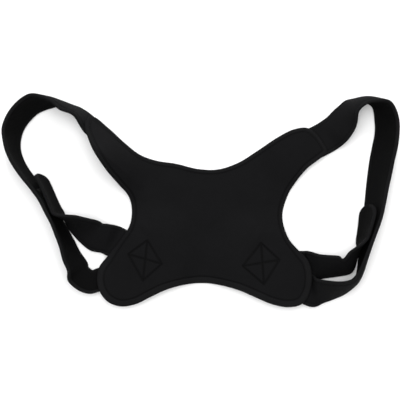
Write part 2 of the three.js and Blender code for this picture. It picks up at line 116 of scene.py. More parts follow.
SHOULDER_LEFT = (
    (-0.077, 0.197, -19, 0, 0.4, 0.9), (-0.099, 0.382, -14, 0, 1.2, 1), (-0.088, 0.517, 9, 0, 1.2, 1),
    (-0.060, 0.696, 30, 0, 1, 1), (0.004, 0.840, 31, 0, 1, 1), (0.089, 0.936, 27, 0, 1, 1),
    (0.174, 0.963, 17, 0, 1, 1), (0.252, 0.936, 12, 0, 1, 1), (0.336, 0.857, 9, 0, 1, 1),
    (0.446, 0.704, 8, 0, 1, 1), (0.527, 0.609, 7, 0, 1, 1), (0.591, 0.540, 9, 0, 1, 1),
    (0.673, 0.452, 11, 0, 1, 1), (0.721, 0.402, 14, 0, 1, 1), (0.809, 0.312, 19, 0, 1, 1),
    (0.890, 0.237, 26, 0, 1, 1), (0.959, 0.150, 32, 0, 1, 1), (0.996, 0.128, 52, 0.5, 0.7, 0.86),
    (1.014, 0.078, 80, 1, 0.2, 0.75),
)

# A closure strap's free rows: the share of the straight way to its tab, the share of its sag, and the lean.
CLOSURE_RIGHT = (
    (0.080, 0.130, -81), (0.190, 0.290, -53), (0.380, 0.730, -44), (0.570, 1.020, -38),
    (0.780, 0.630, -27),
)
CLOSURE_LEFT = (
    (0.118, 0.135, -72), (0.250, 0.399, -72), (0.450, 0.456, -68), (0.617, 0.400, -54),
    (0.773, 0.244, -33),
)

# The tabs' stretches, as row numbers of the shoulder tables, and the share of the spring at the round end.
Tab = namedtuple("Tab", "start stop spring")
TAB_RIGHT = Tab(16.5, 14.3, 0.0)
TAB_LEFT = Tab(12.4, 9.5, 1.0)

# The crossed box stitches on the lower lobes, corner by corner, in shares as the outline.
BOX_STITCHES = (
    ((-0.525, -0.150), (-0.392, -0.447), (-0.566, -0.659), (-0.702, -0.326)),
    ((0.528, -0.185), (0.698, -0.397), (0.555, -0.704), (0.358, -0.475)),
)

Frame = namedtuple("Frame", "centre across normal bend width")
Station = namedtuple("Station", "centre across bow width")

# Rows of a seam, stations along a tab, hook stations left out at the tab's root, and the least bend.
SEAM_ROWS = 3
TAB_STATIONS = 8
HOOK_SKIP = 2
FLAT_BEND = 0.01

# Steps round the panel's edge for its hems, and the metres between a strap's rows of vertices.
EDGE_STEPS = 1600
SHOULDER_SPACING = 0.0024
CLOSURE_SPACING = 0.0018
HOOK_SPACING = 0.0020

# Where the lower lobes' wide hem and the rim's full painted highlight begin, over how long they fade in, and
# the left upper lobe's tip.
LOBES_FROM = -0.020
LOBES_FADE = 0.040
SEWN_TIP = (-1.04, 0.96)
TIP_FLAT = 0.012
TIP_FADE = 0.040

# How the painted light and shade on the cloth show: half a sewn line's width, its painted shade along hems
# and straps, the faintest painted highlight on the rim, the painted shade on the straps' face that lies in
# shade and on its lower hem, and the painted highlight on their rolled edges.
LINE_WIDTH = 0.0015
HEM_LINE_SHADE = 0.55
STRAP_LINE_SHADE = 0.4
FAINT_RIM_HIGHLIGHT = 0.22
SHADED_FACE_DARKNESS = 0.95
SHADED_FACE_HEM_DARKNESS = -0.5
STRAP_RIM_HIGHLIGHT = 0.8


class BraceSizes(bpy.types.PropertyGroup):
    """Sizes of the panel and the straps"""

    panel_half_width: FloatProperty(
        name="Panel half width", description="Middle to the outer end of a lower lobe",
        default=0.160, unit="LENGTH")
    panel_rise: FloatProperty(
        name="Panel rise", description="Middle to the height of the upper lobes' ends",
        default=0.160, unit="LENGTH")
    panel_drop: FloatProperty(
        name="Panel drop", description="Middle to the lowest point of the lower lobes",
        default=0.118, unit="LENGTH")
    panel_thickness: FloatProperty(
        name="Panel thickness", description="Thickness of the padded panel", default=0.006, unit="LENGTH")
    strap_width: FloatProperty(
        name="Strap width", description="Width of the shoulder and closure straps",
        default=0.048, unit="LENGTH")
    strap_thickness: FloatProperty(
        name="Strap thickness", description="Thickness of the straps", default=0.005, unit="LENGTH")
    strap_bow: FloatProperty(
        name="Strap bow", description="How far the middle of a standing strap's section bows outwards",
        default=0.0065, unit="LENGTH")
    tab_spring: FloatProperty(
        name="Tab spring", description="How far the left tab's round end springs off",
        default=0.008, unit="LENGTH")
    facet_room: FloatProperty(
        name="Room between bent pieces", description="Kept between the tab, the hook pad and the strap",
        default=0.0005, unit="LENGTH")
    loop_reach: FloatProperty(
        name="Loop reach", description="How far the straps' loops stand out", default=0.120, unit="LENGTH")
    closure_sag: FloatProperty(
        name="Closure sag", description="How far a closure strap bows away from the straight way",
        default=0.030, unit="LENGTH")
    tab_width: FloatProperty(
        name="Tab width", description="Width of the closure strap's tab", default=0.037, unit="LENGTH")
    hook_width: FloatProperty(
        name="Hook pad width", description="Width of the hook pad", default=0.029, unit="LENGTH")
    hook_thickness: FloatProperty(
        name="Hook pad thickness", description="Thickness of the hook pad", default=0.0015, unit="LENGTH")
    hook_margin: FloatProperty(
        name="Hook pad margin", description="From the tab's round end to the hook pad",
        default=0.016, unit="LENGTH")
    clearance: FloatProperty(
        name="Clearance", description="Gap between pieces that touch", default=0.0003, unit="LENGTH")
    seam_ramp: FloatProperty(
        name="Seam ramp", description="Stretch over which the panel comes down from a strap",
        default=0.046, unit="LENGTH")
    twist_ramp: FloatProperty(
        name="Twist ramp", description="Stretch over which the left upper arm twists up",
        default=0.095, unit="LENGTH")
    past_strap_slope: FloatProperty(
        name="Slope past the strap", description="Share of the arm's slope left past its strap",
        default=0.3, subtype="FACTOR")


class SewingSizes(bpy.types.PropertyGroup):
    """Hems, seams and stitches"""

    upper_hem: FloatProperty(
        name="Upper hem", description="Hem line to the panel's edge, along the top and waist",
        default=0.0065, unit="LENGTH")
    lower_hem: FloatProperty(
        name="Lower hem", description="Hem line to the panel's edge, round the lower lobes",
        default=0.0100, unit="LENGTH")
    strap_hem: FloatProperty(
        name="Strap hem", description="Hem line to a strap's edge", default=0.0050, unit="LENGTH")
    panel_groove: FloatProperty(
        name="Panel groove", description="Depth of the panel's sewn lines", default=0.0009, unit="LENGTH")
    strap_groove: FloatProperty(
        name="Strap groove", description="Depth of the straps' sewn lines", default=0.0005, unit="LENGTH")
    groove_width: FloatProperty(
        name="Groove width", description="Half the width of a sewn line's groove",
        default=0.0012, unit="LENGTH")
    pitch: FloatProperty(
        name="Stitch pitch", description="From one stitch to the next", default=0.0036, unit="LENGTH")
    length: FloatProperty(
        name="Stitch length", description="Length of a stitch on the cloth", default=0.0028, unit="LENGTH")
    thread: FloatProperty(
        name="Thread", description="Radius of the thread", default=0.00035, unit="LENGTH")
    pad_crown: FloatProperty(
        name="Padding crown", description="How far the padding stands proud of the hems",
        default=0.0003, unit="LENGTH")
    flat_tip: FloatProperty(
        name="Flattened tip", description="Share of the thickness left at the left upper lobe's sewn tip",
        default=0.45, subtype="FACTOR")
    voxel: FloatProperty(
        name="Padding voxel", description="Grain of the mesh on which the padding settles",
        default=0.004, unit="LENGTH")
    padding_push: FloatProperty(
        name="Padding push", description="How hard the padding presses the cloth out", default=4.0)
    padding_cap: FloatProperty(
        name="Padding cap", description="The furthest that the cloth may move as it settles",
        default=0.0018, unit="LENGTH")
    settle_frames: IntProperty(
        name="Settling steps", description="Steps over which the padding settles", default=20)


class ClothColours(bpy.types.PropertyGroup):
    """Colours and scale of the knitted cloth"""

    cloth: FloatVectorProperty(
        name="Cloth", description="Black knitted face of the panel and straps",
        default=(0.0040, 0.0040, 0.0044), size=3, min=0, max=1, subtype="COLOR")
    # Painted highlight: lighter than the cloth, standing for the light that the rolled rim's edge catches.
    rim: FloatVectorProperty(
        name="Rim highlight", description="Rolled rim outside the hem",
        default=(0.0056, 0.0056, 0.0060), size=3, min=0, max=1, subtype="COLOR")
    # Darker than the cloth: partly the thread's own black, partly painted shade along the sewn lines.
    thread: FloatVectorProperty(
        name="Thread", description="Sewing thread",
        default=(0.0014, 0.0014, 0.0015), size=3, min=0, max=1, subtype="COLOR")
    hooks: FloatVectorProperty(
        name="Hooks", description="Hook fastener",
        default=(0.0032, 0.0032, 0.0034), size=3, min=0, max=1, subtype="COLOR")
    knit_pitch: FloatProperty(
        name="Knit pitch", description="Width of one knitted column", default=0.0013, unit="LENGTH")


class StudioSettings(bpy.types.PropertyGroup):
    """Camera, lights and floor"""

    camera_place: FloatVectorProperty(
        name="Camera place", description="Where the camera hangs, looking straight down",
        default=(-0.006, 0.042, 1.300), size=3, subtype="TRANSLATION")
    lens: FloatProperty(
        name="Lens", description="Focal length on a 36 mm sensor", default=78.0, unit="CAMERA")
    overhead: FloatProperty(
        name="Overhead light", description="Power of the large light overhead", default=58.0, unit="POWER")
    side: FloatProperty(
        name="Side light", description="Power of the light from the shoulders' side",
        default=26.0, unit="POWER")
    sky: FloatProperty(
        name="Surround", description="Strength of the even light from all round", default=0.42)
    floor: FloatVectorProperty(
        name="Floor", description="Pale floor", default=(0.92, 0.92, 0.92), size=3, min=0, max=1,
        subtype="COLOR")


def sizes():
    return bpy.context.scene.brace_sizes


def sewing():
    return bpy.context.scene.brace_sewing


def colours():
    return bpy.context.scene.brace_colours


def studio():
    return bpy.context.scene.brace_studio


# Curves

def clamp(value, low=0.0, high=1.0):
    return min(max(value, low), high)


def ease(share):
    share = clamp(share)
    return share * share * (3 - 2 * share)


def mix(a, b, share):
    return a + (b - a) * share


def fade(away, reach):
    """A share that falls off evenly on both sides of a line."""
    return math.exp(-(away / reach) ** 2)


def smooth_path(points, closed=False):
    """A centripetal curve through the points, as a function of the row number along them."""
    count = len(points)

    def pick(row):
        if closed:
            return points[row % count]
        if row < 0:
            return points[0] * 2 - points[1]
        if row >= count:
            return points[-1] * 2 - points[-2]
        return points[row]

    def path(row):
        i = math.floor(row) if closed else int(clamp(math.floor(row), 0, count - 2))
        t = row - i
        before, here, there, after = pick(i - 1), pick(i), pick(i + 1), pick(i + 2)
        d0 = math.sqrt((here - before).length)
        d1 = math.sqrt((there - here).length)
        d2 = math.sqrt((after - there).length)
        leave = ((here - before) / d0 - (there - before) / (d0 + d1) + (there - here) / d1) * d1
        arrive = ((there - here) / d1 - (after - here) / (d1 + d2) + (after - there) / d2) * d1
        bend = (there - here) * 3 - leave * 2 - arrive
        turn = (here - there) * 2 + leave + arrive
        return here + leave * t + bend * (t * t) + turn * (t * t * t)

    return path


def tangent(path, row, last, closed=False):
    """The way of a path at a row."""
    step = 0.0001 * last
    low, high = row - step, row + step
    if not closed:
        low, high = max(low, 0), min(high, last)
    return (path(high) - path(low)).normalized()


def eased_rows(values):
    """A smooth value along numbered rows, which never passes the values of the rows on either side."""
    rises = [b - a for a, b in zip(values, values[1:])]
    slopes = []
    for i in range(len(values)):
        before = rises[i - 1] if i > 0 else 0.0
        after = rises[i] if i < len(rises) else 0.0
        slopes.append(2 * before * after / (before + after) if before * after > 0 else 0.0)

    def value(row):
        i = int(clamp(math.floor(row), 0, len(values) - 2))
        t = row - i
        leave = t * (1 - t) * (1 - t) * slopes[i]
        arrive = t * t * (t - 1) * slopes[i + 1]
        return values[i] + t * t * (3 - 2 * t) * rises[i] + leave + arrive

    return value


# The panel's form

def on_panel(place):
    """A place on the panel, from shares of its half width and of its rise or drop."""
    reach = sizes().panel_rise if place[1] > 0 else sizes().panel_drop
    return Vector((place[0] * sizes().panel_half_width, place[1] * reach))


def distance_to_line(point, start, stop):
    way = stop - start
    share = clamp((point - start).dot(way) / way.length_squared)
    return (point - start - way * share).length


def seam_height():
    return sizes().strap_thickness + sizes().clearance


def twisted_arm_height(point):
    """Height of the panel's middle layer where the tilted left strap holds it up."""
    size, seam = sizes(), SEAMS["upper_left"]
    inner = on_panel(seam.inner)
    heading = (on_panel(seam.edge) - inner).normalized()
    inward = Vector((-heading.y, heading.x))
    tilt = math.radians(90 + seam.lean)
    offset = point - inner
    share = ease(1 + offset.dot(heading) / size.twist_ramp)
    layers = (seam_height() + size.panel_thickness / 2) / math.cos(tilt)
    inset = offset.dot(inward)
    over_strap = min(inset, size.strap_width * math.cos(tilt))
    slope = math.tan(tilt) * (over_strap + size.past_strap_slope * (inset - over_strap))
    return max(0.0, share * (slope + layers - size.panel_thickness / 2))


def level_lobes():
    """The lines along which lobes stay level, how far they stay so, and how high."""
    return [
        (on_panel(start), on_panel(stop), sizes().strap_width * half, straps * seam_height())
        for start, stop, half, straps in LEVEL_LOBES
    ]


def middle_height(point):
    """Height of the panel's middle layer over the surface."""
    lift = twisted_arm_height(point) if point.x < 0 and point.y > 0 else 0.0
    ramp = sizes().seam_ramp
    for start, stop, level, height in level_lobes():
        away = distance_to_line(point, start, stop) - level
        if away < ramp:
            lift = max(lift, (1 - ease(away / ramp)) * height)
    return sizes().panel_thickness / 2 + lift


def middle_normal(point):
    step = 0.0005
    east, north = Vector((step, 0)), Vector((0, step))
    slope_x = middle_height(point + east) - middle_height(point - east)
    slope_y = middle_height(point + north) - middle_height(point - north)
    return Vector((-slope_x, -slope_y, 2 * step)).normalized()


def panel_point(plan, outward, above, beyond):
    """A point of the panel, so far out from its middle layer and so far past its plan place."""
    normal = middle_normal(plan)
    along = outward.to_3d()
    along = (along - normal * along.dot(normal)).normalized()
    return Vector((plan.x, plan.y, middle_height(plan))) + normal * above + along * beyond


def panel_outline(steps):
    """Places and outward ways round the panel's edge."""
    rows = smooth_path([on_panel(row).to_3d() for row in OUTLINE], closed=True)
    count = len(OUTLINE)
    shore = []
    for i in range(steps):
        row = i * count / steps
        way = tangent(rows, row, count, closed=True)
        shore.append((rows(row).to_2d(), Vector((way.y, -way.x)).normalized()))
    return shore


class PanelSewing:
    """How far in the sewn lines press the padding."""

    def __init__(self):
        self.edge = panel_outline(EDGE_STEPS)
        self.tree = kdtree.KDTree(len(self.edge))
        for i, (place, _) in enumerate(self.edge):
            self.tree.insert(place.to_3d(), i)
        self.tree.balance()
        self.boxes = []
        for corners in BOX_STITCHES:
            a, b, c, d = (on_panel(corner) for corner in corners)
            self.boxes += [(a, b), (b, c), (c, d), (d, a), (a, c), (b, d)]

    def inset(self, plan):
        return self.tree.find(plan.to_3d())[2]

    def lobe_share(self, plan):
        return ease((LOBES_FROM - plan.y) / LOBES_FADE)

    def hem(self, plan):
        return mix(sewing().upper_hem, sewing().lower_hem, self.lobe_share(plan))

    def box_distance(self, plan):
        """From a place to its nearest box stitch. The upper half has none."""
        if plan.y > 0:
            return 1.0
        return min(distance_to_line(plan, *line) for line in self.boxes)

    def tip_share(self, plan):
        """The share of the thickness left towards the left upper lobe's sewn tip."""
        away = (plan - on_panel(SEWN_TIP)).length
        return mix(sewing().flat_tip, 1.0, ease((away - TIP_FLAT) / TIP_FADE))

    def rim_highlight_strength(self, plan):
        """How strongly the painted highlight on the rolled rim shows: on the lower lobes, the neck and the
        right upper lobe.
        """
        upper = ease((plan.y - 0.070) / 0.030) * ease((plan.x + 0.140) / 0.060)
        return FAINT_RIM_HIGHLIGHT + (1 - FAINT_RIM_HIGHLIGHT) * max(self.lobe_share(plan), upper)

    def band(self, plan):
        """The painted highlight on the rolled rim where it is above 0, the painted shade in a sewn line where
        it is below.
        """
        past_hem = self.inset(plan) - self.hem(plan)
        # Painted highlight on the rim outside the hem; painted shade along the hem's sewn line and the box
        # stitches.
        rim = self.rim_highlight_strength(plan) if past_hem < 0 else 0.0
        line = max(HEM_LINE_SHADE * fade(past_hem, LINE_WIDTH), fade(self.box_distance(plan), LINE_WIDTH))
        return mix(rim, -1.0, line)

    def half_thickness(self, plan, top):
        """Half the panel's thickness, with the padding's uneven crown and the sewn lines' grooves."""
        past_hem = self.inset(plan) - self.hem(plan)
        crown = sewing().pad_crown * ease(past_hem / 0.022)
        crown *= 1 + 0.8 * noise.noise(plan.to_3d() * 14 + Vector((3, 7, 1)))
        line = fade(past_hem, sewing().groove_width)
        if top:
            line = max(line, fade(self.box_distance(plan), sewing().groove_width))
        sunk = sewing().panel_groove * line
        return (sizes().panel_thickness / 2 + crown - sunk) * self.tip_share(plan)


# The straps' form

def bent_point(at, reach, out):
    """A point of a bent section, so far across it and so far out from its middle layer."""
    if abs(at.bend) < FLAT_BEND:
        return at.centre + at.across * reach + at.normal * out
    radius, turn = 1 / at.bend, reach * at.bend
    along = at.across * ((radius + out) * math.sin(turn))
    return at.centre + along + at.normal * ((radius + out) * math.cos(turn) - radius)


def bent_facing(at, reach):
    """The way that a bent section's layer faces, so far across it."""
    turn = reach * at.bend
    return at.normal * math.cos(turn) + at.across * math.sin(turn)


def stations(rows, turn):
    """Stations of a strap whose lower edge runs through rows of feet."""
    size = sizes()
    feet = smooth_path([Vector((row[0], row[1], 0)) for row in rows])
    up, made = Vector((0, 0, 1)), []
    for i, (x, y, lean, lift, bow, share) in enumerate(rows):
        way = tangent(feet, i, len(rows) - 1)
        lean = math.radians(lean)
        outward = Vector((-way.y, way.x, 0)) * turn
        across = outward * math.sin(lean) + up * math.cos(lean)
        outer = outward * math.cos(lean) - up * math.sin(lean)
        width = share * size.strap_width
        bend = 8 * size.strap_bow * bow * math.cos(lean) ** 2 / size.strap_width ** 2
        bend = max(bend, FLAT_BEND)
        half_turn = bend * width / 2
        centre = Vector((x, y, lift * seam_height()))
        centre.z += size.strap_thickness / 2 * (1 - math.cos(lean + half_turn))
        centre += across * (math.sin(half_turn) / bend) + outer * ((1 - math.cos(half_turn)) / bend)
        made.append(Station(centre, across, outer * bend, width))
    return made


def route(stops):
    """A strap's frame at any row of its stations."""
    last = len(stops) - 1
    centres = smooth_path([stop.centre for stop in stops])
    height = eased_rows([stop.centre.z for stop in stops])
    turns = [eased_rows([stop.across[axis] for stop in stops]) for axis in range(3)]
    bows = [eased_rows([stop.bow[axis] for stop in stops]) for axis in range(3)]
    width = eased_rows([stop.width for stop in stops])

    def place(row):
        row = clamp(row, 0, last)
        centre = centres(row)
        centre.z = height(row)
        return centre

    def frame_at(row):
        across = Vector([turn(row) for turn in turns]).normalized()
        way = place(row + 0.05) - place(row - 0.05)
        normal = across.cross(way).normalized()
        bend = Vector([bow(row) for bow in bows]).dot(normal)
        return Frame(place(row), across, normal, bend, width(row))

    return frame_at


def seam_rows(seam):
    """The three rows of a seam, from its inner end to the lobe's edge."""
    inner, edge = Vector(seam.inner), Vector(seam.edge)
    places = [on_panel(inner), on_panel((inner + edge) / 2), on_panel(edge)]
    return [(place.x, place.y, seam.lean, seam.lift, 0, seam.width) for place in places]


def shoulder_stations(side):
    """Stations of a shoulder strap, from its upper seam round the arm opening to its lower one."""
    upper, lower = SEAMS["upper_" + side.name], SEAMS["lower_" + side.name]
    start, stop = on_panel(upper.edge), on_panel(lower.edge)
    free = []
    for down, out, *rest in side.shoulder:
        place = start.lerp(stop, down)
        free.append((place.x + side.turn * out * sizes().loop_reach, place.y, *rest))
    return stations(seam_rows(upper) + free + seam_rows(lower)[::-1], side.turn)


def rows_between(start, stop, count):
    return [mix(start, stop, i / count) for i in range(count + 1)]


def beside_stations(strap, rows, turn, offset, spring, width):
    """Stations against the inner face of a shoulder strap, with the far end sprung off."""
    aside = (width - sizes().strap_width) / 2
    made = []
    for i, row in enumerate(rows):
        at = strap(row)
        away = offset + spring * (i / (len(rows) - 1)) ** 2
        swing = aside * at.bend
        across = at.across * math.cos(swing) - at.normal * math.sin(swing)
        bow = bent_facing(at, aside) * (at.bend / (1 - turn * at.bend * away))
        made.append(Station(bent_point(at, aside, -turn * away), across, bow, width))
    return made


def tab_rows(tab, count):
    return rows_between(tab.start + SEAM_ROWS - 1, tab.stop + SEAM_ROWS - 1, count)


def closure_stations(shoulder, side):
    """Stations of a closure strap, from its seam to its tab beside the shoulder strap."""
    size, seam, tab, turn = sizes(), SEAMS["closure_" + side.name], side.tab, side.turn
    offset = size.strap_thickness + size.hook_thickness + 2 * (size.clearance + size.facet_room)
    spring = tab.spring * size.tab_spring
    beside = beside_stations(shoulder, tab_rows(tab, TAB_STATIONS), turn, offset, spring, size.tab_width)
    start = on_panel(seam.edge)
    first = beside[0]
    stop = (first.centre - first.across * (size.tab_width / 2)).to_2d()
    way = (stop - start).normalized()
    outward = Vector((turn * way.y, -turn * way.x))
    free = []
    for along, sag, lean in side.closure:
        place = start.lerp(stop, along) + outward * (sag * size.closure_sag)
        free.append((place.x, place.y, lean, 0, 1, 1))
    rows = seam_rows(seam) + free + [(stop.x, stop.y, 0, 0, 1, 1)]
    return stations(rows, -turn)[:-1] + beside


def hook_stations(shoulder, side):
    """Stations of the hook pad between a tab and its shoulder strap."""
    size, rows = sizes(), tab_rows(side.tab, 3 * TAB_STATIONS)
    offset = size.strap_thickness / 2 + size.clearance + size.facet_room + size.hook_thickness / 2
    found = beside_stations(shoulder, rows, side.turn, offset, 0.0, size.hook_width)
    end = found[-1].centre
    return [stop for stop in found if (stop.centre - end).length > size.hook_margin][HOOK_SKIP:]


def lengths_along(frames):
    walked = [0.0]
    for a, b in zip(frames, frames[1:]):
        walked.append(walked[-1] + (b.centre - a.centre).length)
    return walked


def frames_along(stops, spacing):
    """Frames at even distances along the route through stations."""
    path, last = route(stops), len(stops) - 1
    rows = rows_between(0, last, last * 16)
    lengths = lengths_along([path(row) for row in rows])
    count = max(2, round(lengths[-1] / spacing))
    made, i = [], 0
    for k in range(count + 1):
        wanted = lengths[-1] * k / count
        while i < len(rows) - 2 and lengths[i + 1] < wanted:
            i += 1
        share = (wanted - lengths[i]) / max(lengths[i + 1] - lengths[i], 1e-9)
        made.append(path(mix(rows[i], rows[i + 1], share)))
    return made


def rounded_widths(frames, radius):
    """Frames narrowed along an arc at their last end."""
    walked = lengths_along(frames)
    made = []
    for at, along in zip(frames, walked):
        short = clamp(1 - (walked[-1] - along) / radius, 0, 0.995)
        made.append(at._replace(width=at.width * math.sqrt(1 - short * short)))
    return made


class Strap:
    """A strap's frames, thickness, hem and the face that gets painted shade, with its sewn lines pressed in.
    """

    def __init__(self, frames, thickness, hem, round_end=0.0, shaded_face=0):
        self.thickness, self.hem, self.round_end, self.shaded_face = thickness, hem, round_end, shaded_face
        self.walked = lengths_along(frames)
        self.frames = rounded_widths(frames, round_end) if round_end else frames
        self.frames = [self.clear_of_floor(at) for at in self.frames]

    def clear_of_floor(self, at):
        """The frame, raised where its section would reach below the surface."""
        flat, half = self.flat(at), self.thickness / 2
        turns = [math.radians(turn) for turn in range(0, 181, 15)]
        lowest = min(
            bent_point(at, side * (flat + half * math.sin(turn)), side * half * math.cos(turn)).z
            for side in (1, -1) for turn in turns)
        return at._replace(centre=at.centre + Vector((0, 0, max(0.0, -lowest))))

    def flat(self, at):
        return max(at.width / 2 - self.thickness / 2, 0.0002)

    def edge_distance(self, k, across):
        """From a place on the strap to its nearest edge."""
        at = self.frames[k]
        left = self.walked[-1] - self.walked[k]
        if self.round_end and left < self.round_end:
            return self.round_end - math.hypot(self.round_end - left, across)
        return at.width / 2 - abs(across)

    def half(self, k, across):
        """Half the strap's thickness at a place across it."""
        if not self.hem:
            return self.thickness / 2
        away = self.edge_distance(k, across) - self.hem
        return self.thickness / 2 - sewing().strap_groove * fade(away, sewing().groove_width)

    def band(self, k, across, face):
        """The painted highlight on the hem where it is above 0, the painted shade on the face in shade or in
        a sewn line where it is below.
        """
        if not self.hem:
            return 0.0
        away = self.edge_distance(k, across) - self.hem
        shaded_face = face == self.shaded_face
        # Painted shade darkens the strap's face that lies in shade and that face's lower hem; elsewhere the
        # hem gets the rim's painted highlight.
        if away > 0:
            cloth = -SHADED_FACE_DARKNESS if shaded_face else 0.0
        else:
            cloth = SHADED_FACE_HEM_DARKNESS if shaded_face and across < 0 else STRAP_RIM_HIGHLIGHT
        # Painted shade along the strap's sewn lines.
        return mix(cloth, -1.0, STRAP_LINE_SHADE * fade(away, 0.6 * LINE_WIDTH))

    def point(self, k, across, out):
        return bent_point(self.frames[k], across, out)

    def facing(self, k, across, face):
        return bent_facing(self.frames[k], across) * face


# Pieces

def new_piece(name, bm, material, *nodes):
    """Turns a bmesh into a piece that rides on the root and stands for its CAD nodes."""
    mesh = bpy.data.meshes.new(name)
    bm.to_mesh(mesh)
    bm.free()
    for polygon in mesh.polygons:
        polygon.use_smooth = True
    mesh.materials.append(material)
    piece = bpy.data.objects.new(name, mesh)
    bpy.context.scene.collection.objects.link(piece)
    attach(piece, "root")
    if nodes:
        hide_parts(*nodes)
    return piece


def grid_rows(bm, columns, rows):
    """A grid of unit squares, as a list of rows of vertices."""
    made = bmesh.ops.create_grid(bm, x_segments=columns, y_segments=rows, size=0.5)["verts"]
    table = [[None] * (columns + 1) for _ in range(rows + 1)]
    for vert in made:
        i = round((vert.co.x + 0.5) * columns)
        k = round((vert.co.y + 0.5) * rows)
        table[k][i] = vert
    return table


def wrap(name, places, bands, lengths):
    """A grid wrapped into a tube through rows of places, with its cloth's own map and its bands of painted
    highlight and shade.
    """
    bm = bmesh.new()
    rows, columns = len(places) - 1, len(places[0])
    # The bands carry painted highlight on the rims and painted shade in the sewn lines and on faces in shade.
    band = bm.verts.layers.float.new("painted_light_band")
    weave = bm.loops.layers.uv.new("weave")
    table = grid_rows(bm, columns, rows)
    spots = {}
    for k, row in enumerate(places):
        round_way = 0.0
        for i in range(columns + 1):
            vert = table[k][i]
            vert.co = row[i % columns]
            vert[band] = bands[k][i % columns]
            if i:
                round_way += (row[i % columns] - row[i - 1]).length
            spots[vert] = (round_way, lengths[k])
    for face in bm.faces:
        for loop in face.loops:
            loop[weave].uv = spots[loop.vert]
    bmesh.ops.remove_doubles(bm, verts=bm.verts[:], dist=0.00001)
    open_edges = [edge for edge in bm.edges if edge.is_boundary]
    if open_edges:
        bmesh.ops.holes_fill(bm, edges=open_edges, sides=0)
    bmesh.ops.recalc_face_normals(bm, faces=bm.faces[:])
    return bm


# The strap's mesh: places across half a face, and degrees round an edge.
FACE_SHARES = (-1.0, -0.965, -0.93, -0.895, -0.86, -0.82, -0.76, -0.66, -0.5, -0.3, -0.1)
EDGE_TURNS = (64, 38, 13, -13, -38, -64)


def strap_mesh(strap):
    """A strap's closed mesh: both faces with their hems, and round edges."""
    shares = FACE_SHARES + tuple(-share for share in reversed(FACE_SHARES))
    places, bands = [], []
    for k, at in enumerate(strap.frames):
        flat, half = strap.flat(at), strap.thickness / 2
        ring, band = [], []
        for face in (1, -1):
            for share in shares:
                across = face * share * flat
                ring.append(strap.point(k, across, face * strap.half(k, across)))
                band.append(strap.band(k, across, face))
            for turn in EDGE_TURNS:
                turn = math.radians(turn)
                across = face * (flat + half * math.cos(turn))
                ring.append(strap.point(k, across, face * half * math.sin(turn)))
                # Painted highlight on the strap's rolled edges.
                band.append(STRAP_RIM_HIGHLIGHT if strap.hem else 0.0)
        places.append(ring)
        bands.append(band)
    return wrap("strap", places, bands, strap.walked)


# The panel's mesh: steps round it, rings on top and where they gather at the hem, rings beneath, and
# degrees over the rim.
PANEL_STEPS = 560
TOP_RINGS = 90
HEM_RINGS = 26
HEM_SHARE = 0.88
UNDER_RINGS = 26
RIM_TURNS = (-70, -45, -20, 0, 20, 45, 70)


def panel_mesh(sewn):
    """The panel's closed mesh: rings from the middle of the underside, over the rim, to the middle on top."""
    radius = sizes().panel_thickness / 2
    shore = [(place - outward * radius, outward) for place, outward in panel_outline(PANEL_STEPS)]
    inner = [HEM_SHARE * i / TOP_RINGS for i in range(TOP_RINGS)]
    outer = [mix(HEM_SHARE, 1.0, i / HEM_RINGS) for i in range(HEM_RINGS + 1)]
    under = [i / UNDER_RINGS for i in range(UNDER_RINGS)] + [0.985, 1.0]
    places, bands = [], []

    def add_ring(share, top):
        ring, band = [], []
        for inset, outward in shore:
            plan = inset * share
            half = sewn.half_thickness(plan, top)
            ring.append(panel_point(plan, outward, half if top else -half, 0))
            band.append(sewn.band(plan) if top else 0.0)
        places.append(ring)
        bands.append(band)

    for share in under:
        add_ring(share, False)
    for turn in RIM_TURNS:
        above, beyond = radius * math.sin(math.radians(turn)), radius * math.cos(math.radians(turn))
        places.append([
            panel_point(inset, outward, above * sewn.tip_share(inset), beyond) for inset, outward in shore])
        # Painted highlight on the panel's rolled rim.
        bands.append([sewn.rim_highlight_strength(inset) for inset, _ in shore])
    for share in reversed(inner + outer):
        add_ring(share, True)
    lengths = [i / len(places) for i in range(len(places))]
    return wrap("panel", places, bands, lengths)


def stitch_mesh():
    """One stitch along Z: a short thread that narrows towards both ends."""
    found = bpy.data.meshes.get("one_stitch")
    if found:
        return found
    bm = bmesh.new()
    bmesh.ops.create_uvsphere(bm, u_segments=6, v_segments=4, radius=1.0)
    mesh = bpy.data.meshes.new("one_stitch")
    bm.to_mesh(mesh)
    bm.free()
    return mesh


